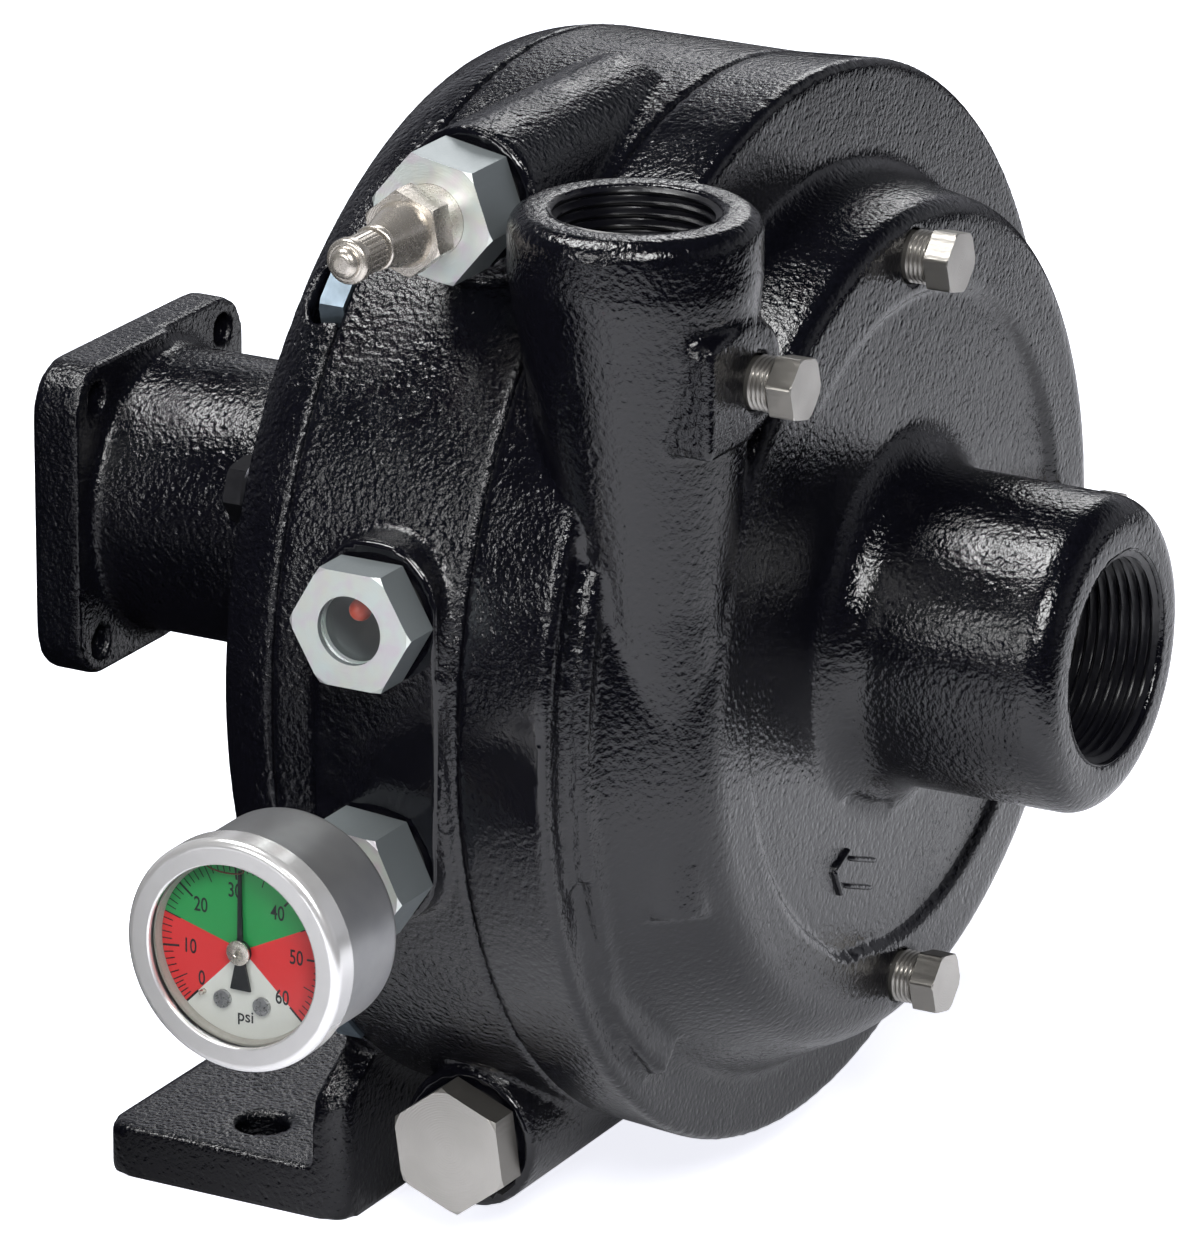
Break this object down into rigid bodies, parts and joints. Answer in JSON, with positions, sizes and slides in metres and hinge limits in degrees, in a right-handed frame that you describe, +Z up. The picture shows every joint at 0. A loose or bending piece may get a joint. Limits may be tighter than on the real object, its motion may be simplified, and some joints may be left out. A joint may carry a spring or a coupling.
{
  "type": "centrifugal pump",
  "caption": "Foot-mounted cast iron centrifugal pump with a wet seal housing, level glass, gauge, air valve and a square flange for a close-coupled motor.",
  "frame": {"origin": "centre of the foot's underside", "axes": "+Z up along the discharge, +Y along the shaft to the motor flange, -Y out of the suction nose, -X to the gauge side"},
  "size_m": [0.2618, 0.2198, 0.2213],
  "materials": {
    "cast_black": "gloss",
    "zinc": "satin",
    "stainless": "satin",
    "nickel": "polished",
    "polished_steel": "polished",
    "ground_steel": "ground",
    "rubber": "matte",
    "ceramic": "lapped",
    "carbon": "lapped",
    "cast_iron": "machined",
    "bronze": "machined",
    "brass": "machined",
    "glass": "clear",
    "dial": "satin",
    "needle": "satin",
    "float": "gloss"
  },
  "bodies": {
    "pump_body": {"rear_frame": "cast_black", "seal_housing": "cast_black", "volute_casing": "cast_black", "volute_o_ring": "rubber", "frame_o_ring": "rubber", "body_bolts": "zinc", "frame_bolts": "cast_black", "frame_bolt_washers": "cast_black", "casing_plugs": "stainless", "drain_plug": "stainless", "drain_washer": "rubber", "valve_adapter": "zinc", "valve_washer": "rubber", "valve_body": "nickel", "sight_body": "zinc", "sight_washer": "rubber", "sight_lens": "glass", "sight_reflector": "dial", "gauge_adapter": "zinc", "gauge_washer": "rubber", "gauge_stem": "nickel", "gauge_case": "stainless", "gauge_bezel": "polished_steel", "gauge_window": "glass", "gauge_dial": "dial", "gauge_dial_screws": "zinc", "gauge_bourdon_tube": "brass", "wear_ring": "bronze", "front_seal_seat": "ceramic", "rear_seal_seat": "ceramic", "lip_seal": "rubber", "bearing_outer_rings": "ground_steel", "bearing_spacer": "ground_steel", "housing_snap_ring": "ground_steel"},
    "rotor": {"shaft": "ground_steel", "impeller": "cast_iron", "impeller_key": "ground_steel", "impeller_washer": "stainless", "impeller_nut": "stainless", "front_seal_ring": "carbon", "seal_bellows": "stainless", "rear_seal_ring": "carbon", "bearing_inner_rings": "ground_steel", "shaft_snap_ring": "ground_steel", "drive_coupling": "ground_steel", "coupling_key": "ground_steel", "coupling_set_screws": "ground_steel"},
    "bearing_ball_sets": {"bearing_balls": "polished_steel", "bearing_cages": "brass"},
    "gauge_needle": {"gauge_needle": "needle", "gauge_spindle": "brass"},
    "valve_core": {"valve_core": "brass"},
    "valve_cap": {"valve_cap": "nickel", "valve_cap_gasket": "rubber"},
    "sight_float": {"sight_float": "float"}
  },
  "joints": [
    {"name": "rotor_spin", "type": "hinge", "parent": "pump_body", "child": "rotor", "pos_m": [0, -0.068, 0.1143], "axis": [0, 1, 0], "continuous": true},
    {"name": "ball_set_orbit", "type": "hinge", "parent": "pump_body", "child": "bearing_ball_sets", "pos_m": [0, 0.012, 0.1143], "axis": [0, 1, 0], "continuous": true},
    {"name": "needle_sweep", "type": "hinge", "parent": "pump_body", "child": "gauge_needle", "pos_m": [-0.1517, -0.0516, 0.0882], "axis": [1, 0, 0], "range_deg": [-135, 135], "stiffness_Nm_per_rad": 0.00001},
    {"name": "valve_core_push", "type": "slide", "parent": "pump_body", "child": "valve_core", "axis": [1, 0, 0], "range_m": [0, 0.0015], "stiffness_N_per_m": 100, "springref_m": -0.002},
    {"name": "cap_advance", "type": "slide", "parent": "pump_body", "child": "valve_cap", "axis": [-1, 0, 0], "range_m": [0, 0.0064]},
    {"name": "float_rise", "type": "slide", "parent": "pump_body", "child": "sight_float", "axis": [0, 0, 1], "range_m": [-0.0064, 0.0016]}
  ],
  "couplings": [
    {"joint": "ball_set_orbit", "follows": "rotor_spin", "ratio": 0.3815}
  ]
}
